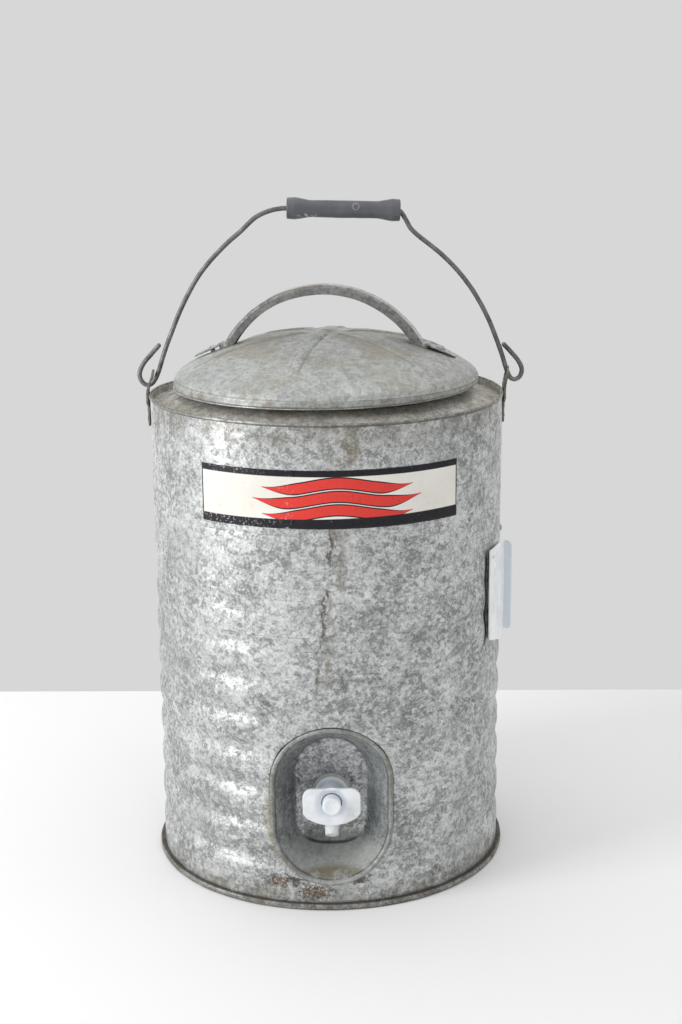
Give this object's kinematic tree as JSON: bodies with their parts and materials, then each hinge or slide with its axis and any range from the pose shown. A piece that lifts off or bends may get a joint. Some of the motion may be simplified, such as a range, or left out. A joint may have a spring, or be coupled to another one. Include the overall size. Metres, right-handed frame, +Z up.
{
  "type": "insulated water cooler",
  "caption": "Insulated galvanized water cooler with lift-off domed lid, folding bail handle, recessed push-button spigot and side bracket.",
  "frame": {"origin": "middle of the base, on the floor", "axes": "+Z up; the spigot alcove faces -Y; +X to the right of someone facing the spigot; the bail swings about X"},
  "size_m": [0.3342, 0.309, 0.5736],
  "materials": {
    "galvanized": "worn galvanized, mottled spangle",
    "foam": "matte foam",
    "label_paint": "semi-gloss printed label, worn",
    "white_enamel": "semi-gloss enamel",
    "white_plastic": "satin",
    "seal_rubber": "matte",
    "bail_steel": "dull weathered wire",
    "dark_plastic": "scuffed"
  },
  "bodies": {
    "cooler": {"outer_shell": "galvanized", "bottom_pan": "galvanized", "deck": "galvanized", "inner_tank": "galvanized", "wall_insulation": "foam", "base_insulation": "foam", "alcove_pan": "galvanized", "label": "label_paint", "ear_left": "galvanized", "ear_right": "galvanized", "ear_rivet_left_1": "galvanized", "ear_rivet_left_2": "galvanized", "ear_rivet_right_1": "galvanized", "ear_rivet_right_2": "galvanized", "side_bracket": "white_enamel", "bracket_rivet_1": "white_enamel", "bracket_rivet_2": "white_enamel", "shell_rivet": "galvanized", "spigot_body": "white_plastic", "outer_gasket": "seal_rubber", "spacer": "seal_rubber", "tank_washer": "seal_rubber", "shank_nut": "white_plastic", "return_spring": "bail_steel"},
    "lid": {"lid_shell": "galvanized", "lid_pan": "galvanized", "lid_insulation": "foam", "lid_handle": "galvanized", "handle_rivet_left": "galvanized", "handle_rivet_right": "galvanized"},
    "bail": {"bail_wire": "bail_steel"},
    "grip": {"bail_grip": "dark_plastic"},
    "button": {"button": "white_plastic", "valve_stem": "white_plastic", "valve_seal": "seal_rubber"}
  },
  "joints": [
    {"name": "lid_lift", "type": "slide", "parent": "cooler", "child": "lid", "axis": [0, 0, 1], "range_m": [0, 0.036]},
    {"name": "bail_swing", "type": "hinge", "parent": "cooler", "child": "bail", "pos_m": [0, 0, 0.4205], "axis": [1, 0, 0], "range_deg": [-90, 90]},
    {"name": "grip_turn", "type": "hinge", "parent": "bail", "child": "grip", "pos_m": [0.016, 0, 0.563], "axis": [0.9996, 0, -0.0279], "continuous": true},
    {"name": "button_press", "type": "slide", "parent": "cooler", "child": "button", "axis": [0, 1, 0], "range_m": [0, 0.005], "stiffness_N_per_m": 400, "springref_m": -0.003, "deforming": ["return_spring"]}
  ]
}
